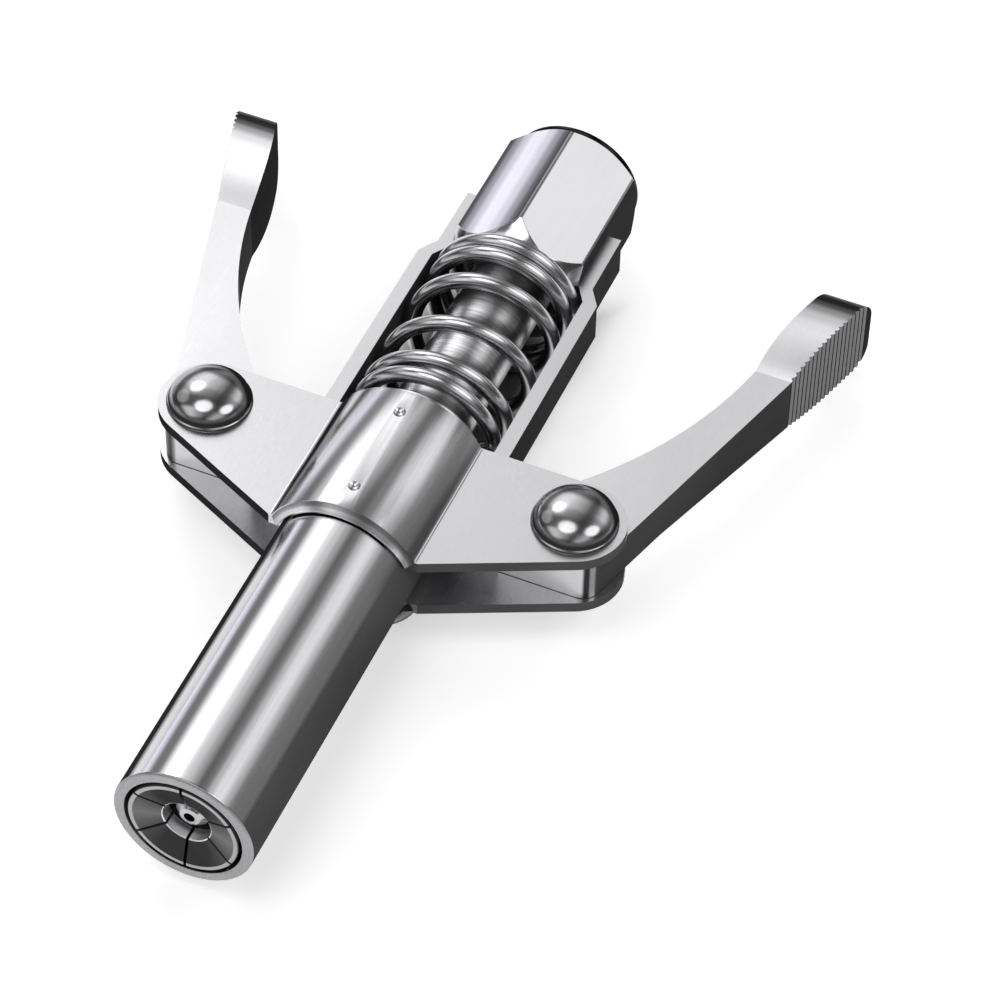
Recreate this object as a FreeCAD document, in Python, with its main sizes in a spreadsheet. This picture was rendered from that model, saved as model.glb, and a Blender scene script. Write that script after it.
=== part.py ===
import FreeCAD, Part

import math
import os
import re

import Sketcher
from FreeCAD import Placement, Rotation, Vector

# Double lever grease coupler.
# The tube lies along Y with its nose towards -Y. The origin is the centre of the hose thread's mouth.
# The levers spread along X and their pins stand along Z. All sizes are in millimetres.

SIZES = {
    # Lengths that stack up to the whole coupler
    "rear_length": 21.1,
    "spring_length": 28.7,
    "sleeve_length": 63.9,
    # Clearances
    "slide_clearance": 0.05,
    "pin_clearance": 0.05,
    "side_clearance": 0.1,
    "contact_gap": 0.15,
    # Jaws, measured back from the nose face
    "jaw_radius": 6.8,
    "jaw_edge": 0.15,
    "jaw_head_length": 2.0,
    "jaw_waist_radius": 6.25,
    "jaw_waist_depth": 3.1,
    "jaw_rear_radius": 5.6,
    "jaw_taper_depth": 9.5,
    "jaw_slot": 0.36,
    "mouth_radius": 6.0,
    "lip_radius": 2.95,
    "lip_depth": 1.0,
    "lip_length": 0.7,
    "lip_back": 0.4,
    "hook_length": 1.8,
    "hook_clearance": 0.15,
    "hook_end_clearance": 0.2,
    "jaw_clearance": 0.2,
    "step_gap": 0.4,
    # Ring that holds the jaws
    "ring_radius": 5.5,
    "ring_wire": 0.45,
    "ring_clearance": 0.15,
    # Nose sleeve
    "nose_gap": 0.45,
    "nose_round": 0.4,
    "throat_clearance": 0.15,
    "throat_lead": 0.2,
    "sleeve_radius": 8.6,
    "guide_length": 13.9,
    "sleeve_tail": 1.7,
    # Core tube
    "core_radius": 5.15,
    "core_neck_radius": 3.9,
    "groove_radius": 3.3,
    "groove_depth": 16.2,
    "chamber_radius": 3.0,
    "chamber_depth": 20.4,
    # Nozzle
    "nozzle_depth": 1.75,
    "nozzle_face_radius": 1.35,
    "nozzle_dish": 0.2,
    "nozzle_tip_radius": 2.0,
    "nozzle_round": 0.55,
    "nozzle_tip_length": 1.55,
    "nozzle_cone": 0.6,
    "nozzle_head_radius": 3.1,
    "nozzle_head_length": 2.1,
    "nozzle_travel": 3.0,
    "nozzle_stop_gap": 0.5,
    "cavity_gap": 0.4,
    "orifice_radius": 0.67,
    "stem_radius": 2.0,
    "spigot_radius": 1.2,
    "spigot_length": 1.7,
    "piston_gap": 0.2,
    "piston_length": 4.4,
    "seal_wire": 0.37,
    "seal_groove": 0.8,
    "seal_groove_width": 1.3,
    # Valve inside the core tube
    "nozzle_spring_length": 13.2,
    "nozzle_spring_wire": 0.7,
    "stop_thickness": 1.5,
    "stop_bore_radius": 1.2,
    "check_spring_length": 4.7,
    "check_spring_wire": 0.4,
    "check_spring_radius": 1.5,
    "ball_radius": 2.0,
    "seat_clearance": 0.02,
    "seat_mouth": 2.3,
    "seat_bore_radius": 1.3,
    "seat_length": 5.0,
    # Rear body
    "shoulder_radius": 8.45,
    "shoulder_cone": 2.5,
    "rear_radius": 9.7,
    "hex_across": 17.0,
    "mouth_face_radius": 8.3,
    "mouth_chamfer": 1.4,
    "mouth_rim": 0.5,
    "thread_radius": 4.35,
    "thread_depth": 11.5,
    "thread_lead_in": 0.5,
    "passage_radius": 1.6,
    "socket_depth": 8.9,
    "gasket_thickness": 0.5,
    "gasket_bore_radius": 3.2,
    # Straps
    "strap_thickness": 1.9,
    "strap_width": 5.4,
    "strap_jog": 1.6,
    "jog_lead": 1.4,
    "jog_length": 2.5,
    "tab_length": 10.5,
    "hook_reach": 3.7,
    "hook_thickness": 1.9,
    # Main spring
    "spring_wire": 2.0,
    "spring_mean_radius": 8.6,
    # Bracket plates
    "bracket_length": 19.7,
    "plate_thickness": 1.5,
    "wing_root": 9.5,
    "wing_tip_radius": 6.2,
    "pivot_offset": 23.6,
    "weld_spacing": 12.8,
    "weld_radius": 1.0,
    "weld_rise": 0.65,
    # Rivets
    "rivet_radius": 2.5,
    "rivet_collar_radius": 5.2,
    "rivet_collar_height": 0.5,
    "rivet_dome_radius": 4.95,
    "rivet_dome_height": 2.65,
    # Levers, measured from the pivot
    "lever_thickness": 5.7,
    "lever_front": 4.8,
    "lever_outer": 4.0,
    "lever_slope": 0.288,
    "lever_corner": 2.2,
    "lever_reach": 48.7,
    "lever_tip_width": 5.4,
    "neck_reach": 32.7,
    "neck_width": 4.65,
    "neck_top": 2.95,
    "neck_bottom": 5.1,
    "taper_reach": 8.3,
    "heel_inset": 2.6,
    "heel_reach": 7.3,
    "inner_arc_radius": 54.8,
    "pad_arc_radius": 60.0,
    "cam_reach": 8.9,
    "cam_lift": 1.0,
    "cam_radius": 2.3,
    "notch_clearance": 0.4,
    "crest_length": 4.2,
    "pad_top": 4.6,
    "pad_bottom": 6.2,
    "tip_round": 3.0,
    "serration_reach": 33.2,
    "serration_margin": 0.7,
    "serration_pitch": 0.86,
    "serration_width": 0.62,
    "serration_depth": 0.35,
}
JAWS = 6
SPRING_TURNS = 6.0
SPRING_OPEN_CENTRE = 3.03
SPRING_OPEN_HALF_WIDTH = 2.3
SPRING_START_ANGLE = 90.0
CLOSED_PITCH = 1.05
POINTS_PER_TURN = 16

# Places along Y, worked out from the sizes
NOSE = "(-rear_length - spring_length - sleeve_length)"
SLEEVE_END = "(-rear_length - spring_length)"
SHOULDER = "(-rear_length)"
BRACKET_REAR = f"({SLEEVE_END} - sleeve_tail)"
BRACKET_FRONT = f"({BRACKET_REAR} - bracket_length)"
PIVOT = f"({BRACKET_REAR} - wing_tip_radius)"
NOZZLE_FRONT = f"({NOSE} + nozzle_depth)"
NOZZLE_HEAD = f"({NOZZLE_FRONT} + nozzle_tip_length + nozzle_cone)"
NOZZLE_REAR = f"({NOZZLE_HEAD} + nozzle_head_length)"
CORE_FRONT = f"({NOZZLE_REAR} + nozzle_travel + nozzle_stop_gap)"
JAW_STEP = f"({CORE_FRONT} - step_gap)"
GROOVE_FRONT = f"({NOSE} + groove_depth)"
HOOK_FRONT = f"({GROOVE_FRONT} + hook_end_clearance)"
HOOK_REAR = f"({HOOK_FRONT} + hook_length)"
GROOVE_REAR = f"({HOOK_REAR} + hook_end_clearance)"
RING_PLACE = f"({HOOK_FRONT} + hook_length / 2)"
CHAMBER_FRONT = f"({NOSE} + chamber_depth)"
PISTON_FRONT = f"({CHAMBER_FRONT} + piston_gap)"
PISTON_REAR = f"({PISTON_FRONT} + piston_length)"
STOP_FRONT = f"({PISTON_REAR} + nozzle_spring_length)"
STOP_REAR = f"({STOP_FRONT} + stop_thickness)"
BALL_PLACE = f"({STOP_REAR} + check_spring_length + ball_radius)"
SEAT_FRONT = f"({BALL_PLACE} + (ball_radius + seat_clearance) * sqrt(2) - seat_mouth)"
SOCKET_FLOOR = f"({SHOULDER} + socket_depth)"
CORE_REAR = f"({SOCKET_FLOOR} - gasket_thickness)"
CAM_FRONT = f"({PIVOT} + cam_lift - cam_radius)"

# Places across, worked out from the sizes
PLATE_INNER = "(lever_thickness / 2 + side_clearance)"
PLATE_OUTER = f"({PLATE_INNER} + plate_thickness)"
SADDLE_OUTER = "(sleeve_radius + plate_thickness)"
STRAP_INNER = "(hex_across / 2 + strap_jog)"
STRAP_OUTER = f"({STRAP_INNER} + strap_thickness)"
HOOK_END = f"({STRAP_OUTER} + hook_reach)"

doc = FreeCAD.newDocument("grease_coupler")


def make_sheet():
    """Put every size in a cell with its own name."""
    sheet = doc.addObject("Spreadsheet::Sheet", "dim")
    for row, (name, value) in enumerate(SIZES.items(), start=1):
        sheet.set(f"A{row}", name)
        sheet.set(f"B{row}", str(value))
        sheet.setAlias(f"B{row}", name)
    doc.recompute()
    return sheet


sheet = make_sheet()


def bound(expression):
    """Write an expression of size names as one that reads the sheet."""
    return re.sub(r"[a-z_]+", lambda word: f"dim.{word[0]}" if word[0] in SIZES else word[0], expression)


def value(expression):
    """Work out an expression of size names."""
    result = sheet.evalExpression(re.sub(r"dim\.", "", bound(expression)))
    return float(getattr(result, "Value", result))


def new_body(label):
    body = doc.addObject("PartDesign::Body", label)
    body.Label = label
    return body


def new_sketch(body, role, name):
    """Put a sketch on one of the body's own origin planes."""
    sketch = body.newObject("Sketcher::SketchObject", f"{body.Name}_{name}")
    plane = [item for item in body.Origin.OriginFeatures if item.Role == role][0]
    sketch.AttachmentSupport = [(plane, "")]
    sketch.MapMode = "FlatFace"
    return sketch


def pin_point(sketch, geometry, end, point):
    """Hold one end of a line or arc at a place given by two expressions."""
    for kind, expression in zip(("DistanceX", "DistanceY"), point):
        index = sketch.addConstraint(Sketcher.Constraint(kind, -1, 1, geometry, end, value(expression)))
        sketch.setExpression(f"Constraints[{index}]", bound(expression))


def hold_radius(sketch, geometry, expression):
    index = sketch.addConstraint(Sketcher.Constraint("Radius", geometry, value(expression)))
    sketch.setExpression(f"Constraints[{index}]", bound(expression))


def arc_between(start, end, radius, side):
    """Short arc joining two points. Side is 1 when it bulges to the left of the way from start to end."""
    chord = end - start
    left = Vector(-chord.y, chord.x, 0).normalize()
    height = math.sqrt(max(radius ** 2 - (chord.Length / 2) ** 2, 0))
    middle = (start + end) / 2 + left * side * (radius - height)
    if side > 0:
        return Part.Arc(end, middle, start)
    return Part.Arc(start, middle, end)


def draw_outline(sketch, points, arcs=None):
    """Draw a closed outline through the points. Arcs maps a side's number to its radius and bulge."""
    arcs = arcs or {}
    corners = [Vector(value(x), value(y), 0) for x, y in points]
    sides = []
    for number, start in enumerate(corners):
        end = corners[(number + 1) % len(corners)]
        if number in arcs:
            radius, side = arcs[number]
            index = sketch.addGeometry(arc_between(start, end, value(radius), side), False)
            sides.append((index, 2, 1) if side > 0 else (index, 1, 2))
            hold_radius(sketch, index, radius)
        else:
            sides.append((sketch.addGeometry(Part.LineSegment(start, end), False), 1, 2))
    for number, (index, start, _) in enumerate(sides):
        before, _, before_end = sides[number - 1]
        sketch.addConstraint(Sketcher.Constraint("Coincident", before, before_end, index, start))
        pin_point(sketch, index, start, points[number])


def draw_circle(sketch, centre, radius):
    spot = Vector(value(centre[0]), value(centre[1]), 0)
    index = sketch.addGeometry(Part.Circle(spot, Vector(0, 0, 1), value(radius)), False)
    hold_radius(sketch, index, radius)
    pin_point(sketch, index, 3, centre)


def turn(body, points, arcs=None, role="XY_Plane", name="profile"):
    """Turn a profile of radius and place about the sketch's upright axis."""
    sketch = new_sketch(body, role, name)
    draw_outline(sketch, points, arcs)
    feature = body.newObject("PartDesign::Revolution", f"{body.Name}_turned_{name}")
    feature.Profile = sketch
    feature.ReferenceAxis = (sketch, ["V_Axis"])
    feature.Angle = 360
    return feature


def pad(body, sketch, length):
    """Thicken a sketch by the same amount to both of its sides."""
    feature = body.newObject("PartDesign::Pad", f"{sketch.Name}_pad")
    feature.Profile = sketch
    feature.Midplane = True
    feature.setExpression("Length", bound(length))
    return feature


def pocket_through(body, sketch):
    """Cut a sketch right through to both sides, and see that it did cut."""
    doc.recompute()
    before = body.Shape.Volume
    feature = body.newObject("PartDesign::Pocket", f"{sketch.Name}_pocket")
    feature.Profile = sketch
    feature.Type = "ThroughAll"
    feature.Midplane = True
    doc.recompute()
    if body.Shape.Volume >= before:
        raise RuntimeError(f"{sketch.Name} cuts nothing")
    return feature


def round_edges(body, radius, chosen):
    """Round the edges of the body's last feature that a test picks."""
    doc.recompute()
    base = body.Tip
    names = [f"Edge{n}" for n, edge in enumerate(base.Shape.Edges, start=1) if chosen(edge)]
    feature = body.newObject("PartDesign::Fillet", f"{body.Name}_round")
    feature.Base = (base, names)
    feature.setExpression("Radius", bound(radius))


def dent(body, name, place, radius):
    """Press a round dimple into the body."""
    doc.recompute()
    before = body.Shape.Volume
    feature = body.newObject("PartDesign::SubtractiveSphere", f"{body.Name}_{name}")
    feature.setExpression("Radius", bound(radius))
    for axis, expression in zip("xyz", place):
        feature.setExpression(f"Placement.Base.{axis}", bound(expression))
    doc.recompute()
    if body.Shape.Volume >= before:
        raise RuntimeError(f"{feature.Name} cuts nothing")


def make_nose_sleeve():
    body = new_body("nose_sleeve")
    throat = "(jaw_waist_radius + throat_clearance)"
    throat_place = f"{NOSE} + jaw_waist_depth + throat_lead"
    guide = "(core_radius + slide_clearance)"
    nose_bore = "jaw_radius + nose_gap"
    turn(body, [
        (nose_bore, NOSE),
        ("sleeve_radius", NOSE),
        ("sleeve_radius", SLEEVE_END),
        (guide, SLEEVE_END),
        (guide, f"{SLEEVE_END} - guide_length"),
        (throat, f"{SLEEVE_END} - guide_length - ({throat} - {guide})"),
        (throat, throat_place),
        (nose_bore, f"{NOSE} + jaw_head_length"),
    ])
    nose = value(NOSE)
    radius = value("sleeve_radius")
    round_edges(body, "nose_round", lambda edge: abs(edge.BoundBox.YMax - nose) < 1e-6
                and abs(edge.BoundBox.XMax - radius) < 1e-6)


def make_jaw(number):
    """One sixth of the gripping ring, with a hook at its rear that sits in the core's groove."""
    body = new_body(f"jaw_{number + 1}")
    inner = "(core_neck_radius + jaw_clearance)"
    cavity = "(nozzle_head_radius + cavity_gap)"
    hook_inner = "(groove_radius + hook_clearance)"
    lip_rear = f"{NOSE} + lip_depth + lip_length"
    ring_floor = "(ring_radius - ring_wire - ring_clearance)"
    ring_half = "(ring_wire + ring_clearance)"
    revolution = turn(body, [
        ("lip_radius", f"{NOSE} + lip_depth"),
        ("mouth_radius", NOSE),
        ("jaw_radius - jaw_edge", NOSE),
        ("jaw_radius", f"{NOSE} + jaw_edge"),
        ("jaw_radius", f"{NOSE} + jaw_head_length"),
        ("jaw_waist_radius", f"{NOSE} + jaw_waist_depth"),
        ("jaw_rear_radius", f"{NOSE} + jaw_taper_depth"),
        ("jaw_rear_radius", f"{RING_PLACE} - {ring_half}"),
        (ring_floor, f"{RING_PLACE} - {ring_half}"),
        (ring_floor, f"{RING_PLACE} + {ring_half}"),
        ("jaw_rear_radius", f"{RING_PLACE} + {ring_half}"),
        ("jaw_rear_radius", HOOK_REAR),
        (hook_inner, HOOK_REAR),
        (hook_inner, HOOK_FRONT),
        (inner, HOOK_FRONT),
        (inner, JAW_STEP),
        (cavity, JAW_STEP),
        (cavity, f"{lip_rear} + lip_back"),
        ("lip_radius", lip_rear),
    ])
    revolution.Angle = 360 / JAWS
    revolution.Midplane = True
    # Half of a saw slot comes off each side
    slots = new_sketch(body, "XZ_Plane", "slots")
    cosine = f"cos({180 / JAWS} deg)"
    sine = f"sin({180 / JAWS} deg)"
    inside = "lip_radius / 2"
    outside = "jaw_radius * 2"
    for side in (1, -1):
        draw_outline(slots, [
            (f"{reach} * {cosine} - {half} * jaw_slot / 2 * {sine}",
             f"{side} * ({reach} * {sine} + {half} * jaw_slot / 2 * {cosine})")
            for reach, half in ((inside, -1), (outside, -1), (outside, 1), (inside, 1))
        ])
    pocket_through(body, slots)
    body.Placement = Placement(Vector(0, 0, 0), Rotation(Vector(0, -1, 0), 360 / JAWS * number))


def make_jaw_ring():
    body = new_body("jaw_ring")
    draw_ring(body, "ring_radius", RING_PLACE, "ring_wire")


def draw_ring(body, radius, place, wire):
    """Turn a round section into a ring about Y."""
    sketch = new_sketch(body, "XY_Plane", "section")
    draw_circle(sketch, (radius, place), wire)
    feature = body.newObject("PartDesign::Revolution", f"{body.Name}_turned")
    feature.Profile = sketch
    feature.ReferenceAxis = (sketch, ["V_Axis"])
    feature.Angle = 360


def make_core_tube():
    body = new_body("core_tube")
    stem_bore = "(stem_radius + slide_clearance)"
    turn(body, [
        (stem_bore, CORE_FRONT),
        ("core_neck_radius", CORE_FRONT),
        ("core_neck_radius", GROOVE_FRONT),
        ("groove_radius", GROOVE_FRONT),
        ("groove_radius", GROOVE_REAR),
        ("core_radius", GROOVE_REAR),
        ("core_radius", CORE_REAR),
        ("chamber_radius", CORE_REAR),
        ("chamber_radius", CHAMBER_FRONT),
        (stem_bore, CHAMBER_FRONT),
    ])


def make_nozzle():
    tip = new_body("nozzle_tip")
    turn(tip, [
        ("orifice_radius", f"{NOZZLE_FRONT} + nozzle_dish"),
        ("nozzle_face_radius", NOZZLE_FRONT),
        ("nozzle_tip_radius", f"{NOZZLE_FRONT} + nozzle_round"),
        ("nozzle_tip_radius", f"{NOZZLE_FRONT} + nozzle_tip_length"),
        ("nozzle_head_radius", NOZZLE_HEAD),
        ("nozzle_head_radius", NOZZLE_REAR),
        ("spigot_radius", NOZZLE_REAR),
        ("spigot_radius", f"{NOZZLE_REAR} - spigot_length"),
        ("orifice_radius", f"{NOZZLE_REAR} - spigot_length"),
    ], {1: ("(nozzle_tip_radius - nozzle_face_radius) * 1.3", -1)})
    stem = new_body("nozzle_stem")
    piston = "(chamber_radius - slide_clearance)"
    floor = "(chamber_radius - seal_groove)"
    groove_front = f"({PISTON_FRONT} + (piston_length - seal_groove_width) / 2)"
    turn(stem, [
        ("orifice_radius", f"{NOZZLE_REAR} - spigot_length"),
        ("spigot_radius", f"{NOZZLE_REAR} - spigot_length"),
        ("spigot_radius", NOZZLE_REAR),
        ("stem_radius", NOZZLE_REAR),
        ("stem_radius", PISTON_FRONT),
        (piston, PISTON_FRONT),
        (piston, groove_front),
        (floor, groove_front),
        (floor, f"{groove_front} + seal_groove_width"),
        (piston, f"{groove_front} + seal_groove_width"),
        (piston, PISTON_REAR),
        ("orifice_radius", PISTON_REAR),
    ])
    seal = new_body("piston_seal")
    draw_ring(seal, "chamber_radius - seal_groove / 2", f"{PISTON_FRONT} + piston_length / 2", "seal_wire")


def make_valve():
    stop = new_body("spring_stop")
    turn(stop, [
        ("stop_bore_radius", STOP_FRONT),
        ("chamber_radius", STOP_FRONT),
        ("chamber_radius", STOP_REAR),
        ("stop_bore_radius", STOP_REAR),
    ])
    seat = new_body("valve_seat")
    turn(seat, [
        ("seat_mouth", SEAT_FRONT),
        ("chamber_radius", SEAT_FRONT),
        ("chamber_radius", f"{SEAT_FRONT} + seat_length"),
        ("seat_bore_radius", f"{SEAT_FRONT} + seat_length"),
        ("seat_bore_radius", f"{SEAT_FRONT} + seat_mouth - seat_bore_radius"),
    ])
    ball = doc.addObject("Part::Sphere", "check_ball")
    ball.Label = "check_ball"
    ball.setExpression("Radius", bound("ball_radius"))
    ball.setExpression("Placement.Base.y", bound(BALL_PLACE))


def make_rear_body():
    body = new_body("rear_body")
    turn(body, [
        ("core_radius", SHOULDER),
        ("shoulder_radius", SHOULDER),
        ("rear_radius", f"{SHOULDER} + shoulder_cone"),
        ("rear_radius", "-mouth_rim - mouth_chamfer"),
        ("mouth_face_radius", "-mouth_rim"),
        ("mouth_face_radius", "0"),
        ("thread_radius + thread_lead_in", "0"),
        ("thread_radius", "-thread_lead_in"),
        ("thread_radius", "-thread_depth"),
        ("passage_radius", "-thread_depth"),
        ("passage_radius", SOCKET_FLOOR),
        ("core_radius", SOCKET_FLOOR),
    ])
    # Six wrench flats, two of them facing along X for the straps
    flats = new_sketch(body, "XZ_Plane", "flats")
    corner = "(hex_across / sqrt(3))"
    draw_outline(flats, [
        ("0", corner),
        ("hex_across / 2", f"{corner} / 2"),
        ("hex_across / 2", f"-{corner} / 2"),
        ("0", f"-{corner}"),
        ("-hex_across / 2", f"-{corner} / 2"),
        ("-hex_across / 2", f"{corner} / 2"),
    ])
    draw_circle(flats, ("0", "0"), "rear_radius * 1.5")
    pocket_through(body, flats)
    gasket = new_body("core_gasket")
    turn(gasket, [
        ("gasket_bore_radius", CORE_REAR),
        ("core_radius", CORE_REAR),
        ("core_radius", SOCKET_FLOOR),
        ("gasket_bore_radius", SOCKET_FLOOR),
    ])


def make_strap(label, side):
    """Flat bar on edge, with an outward hook at its front and a welded tab at its rear."""
    body = new_body(label)
    sketch = new_sketch(body, "XY_Plane", "bar")
    hook_rear = f"({CAM_FRONT} - contact_gap)"
    hook_front = f"({hook_rear} - hook_thickness)"
    jog_front = f"({SHOULDER} - jog_lead)"
    jog_rear = f"({jog_front} + jog_length)"
    tab_end = f"({SHOULDER} + tab_length)"
    draw_outline(sketch, [(f"{side} * {x}", y) for x, y in [
        (STRAP_INNER, hook_front),
        (HOOK_END, hook_front),
        (HOOK_END, hook_rear),
        (STRAP_OUTER, hook_rear),
        (STRAP_OUTER, jog_front),
        ("(hex_across / 2 + strap_thickness)", jog_rear),
        ("(hex_across / 2 + strap_thickness)", tab_end),
        ("(hex_across / 2)", tab_end),
        ("(hex_across / 2)", jog_rear),
        (STRAP_INNER, jog_front),
    ]])
    pad(body, sketch, "strap_width")
    weld_x = f"{side} * (hex_across / 2 + strap_thickness + weld_rise)"
    dent(body, "weld", (weld_x, f"({jog_rear} + {tab_end}) / 2", "0"), "weld_radius")


def make_bracket(label, side):
    """Saddle over the tube with a wing on each side. Side is 1 above the tube and -1 below it."""
    body = new_body(label)
    section = new_sketch(body, "XZ_Plane", "section")
    wing_end = "(pivot_offset + wing_tip_radius + 1)"
    outer_root = f"sqrt({SADDLE_OUTER} ^ 2 - {PLATE_OUTER} ^ 2)"
    inner_root = f"sqrt(sleeve_radius ^ 2 - {PLATE_INNER} ^ 2)"
    low = f"{side} * {PLATE_INNER}"
    high = f"{side} * {PLATE_OUTER}"
    draw_outline(section, [
        (wing_end, low),
        (wing_end, high),
        (outer_root, high),
        (f"-{outer_root}", high),
        (f"-{wing_end}", high),
        (f"-{wing_end}", low),
        (f"-{inner_root}", low),
        (inner_root, low),
    ], {2: (SADDLE_OUTER, -side), 6: ("sleeve_radius", side)})
    pad(body, section, f"2 * -{BRACKET_FRONT}")
    # The plan is the part kept, so what lies outside it is cut away
    plan = new_sketch(body, "XY_Plane", "plan")
    draw_wing_plan(plan)
    far = "(pivot_offset + wing_tip_radius + 5)"
    front = f"(2 * {BRACKET_FRONT})"
    draw_outline(plan, [
        (f"-{far}", front),
        (far, front),
        (far, f"-{front}"),
        (f"-{far}", f"-{front}"),
    ])
    pocket_through(body, plan)
    holes = new_sketch(body, "XY_Plane", "holes")
    for way in (1, -1):
        draw_circle(holes, (f"{way} * pivot_offset", PIVOT), "rivet_radius")
    pocket_through(body, holes)
    for number, way in enumerate((1, -1)):
        place = f"{BRACKET_REAR} - bracket_length / 2 + {way} * weld_spacing / 2"
        dent(body, f"weld_{number}", ("0", place, f"{side} * ({SADDLE_OUTER} + weld_rise)"), "weld_radius")


def draw_wing_plan(sketch):
    """Straight front over the tube, slanted wings, round tips about the rivets and a straight rear."""
    root = Vector(value("wing_root"), value(BRACKET_FRONT), 0)
    centre = Vector(value("pivot_offset"), value(PIVOT), 0)
    radius = value("wing_tip_radius")
    reach = centre - root
    turn_angle = math.acos(radius / reach.Length)
    outward = math.atan2(-reach.y, -reach.x) + turn_angle
    touch = centre + Vector(math.cos(outward), math.sin(outward), 0) * radius
    top = centre + Vector(0, radius, 0)
    side_point = centre + Vector(radius, 0, 0)

    def flip(point):
        return Vector(-point.x, point.y, 0)

    front = sketch.addGeometry(Part.LineSegment(flip(root), root), False)
    right = sketch.addGeometry(Part.LineSegment(root, touch), False)
    right_tip = sketch.addGeometry(Part.Arc(touch, side_point, top), False)
    rear = sketch.addGeometry(Part.LineSegment(top, flip(top)), False)
    left_tip = sketch.addGeometry(Part.Arc(flip(top), flip(side_point), flip(touch)), False)
    left = sketch.addGeometry(Part.LineSegment(flip(touch), flip(root)), False)
    sketch.addConstraint(Sketcher.Constraint("Coincident", front, 2, right, 1))
    sketch.addConstraint(Sketcher.Constraint("Coincident", front, 1, left, 2))
    for line, end, arc, arc_end in ((right, 2, right_tip, 1), (rear, 1, right_tip, 2),
                                    (rear, 2, left_tip, 1), (left, 1, left_tip, 2)):
        sketch.addConstraint(Sketcher.Constraint("Tangent", line, end, arc, arc_end))
    pin_point(sketch, front, 1, ("-wing_root", BRACKET_FRONT))
    pin_point(sketch, front, 2, ("wing_root", BRACKET_FRONT))
    for arc, way in ((right_tip, 1), (left_tip, -1)):
        pin_point(sketch, arc, 3, (f"{way} * pivot_offset", PIVOT))
    hold_radius(sketch, right_tip, "wing_tip_radius")


def make_rivet(label, side):
    """Pin with a domed head above the upper plate and one below the lower plate."""
    body = new_body(label)
    sphere = "((rivet_dome_radius ^ 2 + rivet_dome_height ^ 2) / (2 * rivet_dome_height))"
    collar = f"({PLATE_OUTER} + rivet_collar_height)"
    turn(body, [
        ("0", f"-{collar} - rivet_dome_height"),
        ("rivet_dome_radius", f"-{collar}"),
        ("rivet_collar_radius", f"-{collar}"),
        ("rivet_collar_radius", f"-{PLATE_OUTER}"),
        ("rivet_radius", f"-{PLATE_OUTER}"),
        ("rivet_radius", PLATE_OUTER),
        ("rivet_collar_radius", PLATE_OUTER),
        ("rivet_collar_radius", collar),
        ("rivet_dome_radius", collar),
        ("0", f"{collar} + rivet_dome_height"),
    ], {0: (sphere, -1), 8: (sphere, -1)}, role="XZ_Plane")
    body.setExpression("Placement.Base.x", bound(f"{side} * pivot_offset"))
    body.setExpression("Placement.Base.y", bound(PIVOT))


def lever_points(side):
    """Outline of a lever seen from above, with the sides of it that are arcs."""
    outer = "(pivot_offset + lever_outer)"
    cam_x = "(pivot_offset - cam_reach)"
    cam_y = f"({PIVOT} + cam_lift)"
    notch_x = f"({HOOK_END} + notch_clearance)"
    tip_x = f"({outer} + lever_slope * (lever_front + lever_reach))"
    neck_x = f"({outer} + lever_slope * (lever_front + neck_reach) - neck_width)"
    points = [
        (outer, f"{PIVOT} - lever_front"),
        (tip_x, f"{PIVOT} + lever_reach"),
        (f"({tip_x} - lever_tip_width)", f"{PIVOT} + lever_reach"),
        (neck_x, f"{PIVOT} + neck_reach"),
        ("(pivot_offset - heel_inset)", f"{PIVOT} + heel_reach"),
        (cam_x, f"{cam_y} + cam_radius"),
        (f"({cam_x} - cam_radius)", cam_y),
        (cam_x, f"{cam_y} - cam_radius"),
        (notch_x, f"{cam_y} - cam_radius"),
        (notch_x, f"{PIVOT} - lever_front"),
    ]
    arcs = {
        2: ("pad_arc_radius", -side),
        3: ("inner_arc_radius", side),
        5: ("cam_radius", -side),
        6: ("cam_radius", -side),
    }
    return [(f"{side} * {x}", y) for x, y in points], arcs


def cut_lever_side(sketch, way, neck, height):
    """What comes off above or below the lever, so that it thickens slowly and then swells at its pad."""
    thin = f"{way} * lever_thickness / 2"
    clear = f"{way} * (pad_top + pad_bottom)"
    crest = "(lever_reach - tip_round - crest_length)"
    run = f"({crest} - neck_reach)"
    swell = f"(({run} ^ 2 + ({height} - {neck}) ^ 2) / (2 * ({height} - {neck})))"
    tip = f"({PIVOT} + lever_reach)"
    start = f"({PIVOT} - 2 * lever_front)"
    draw_outline(sketch, [
        (start, thin),
        (f"{PIVOT} + taper_reach", thin),
        (f"{PIVOT} + neck_reach", f"{way} * {neck}"),
        (f"{PIVOT} + {crest}", f"{way} * {height}"),
        (f"{tip} - tip_round", f"{way} * {height}"),
        (tip, f"{way} * ({height} - tip_round)"),
        (f"{tip} + 1", f"{way} * ({height} - tip_round)"),
        (f"{tip} + 1", clear),
        (start, clear),
    ], {2: (swell, way), 4: ("tip_round", way)})


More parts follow.
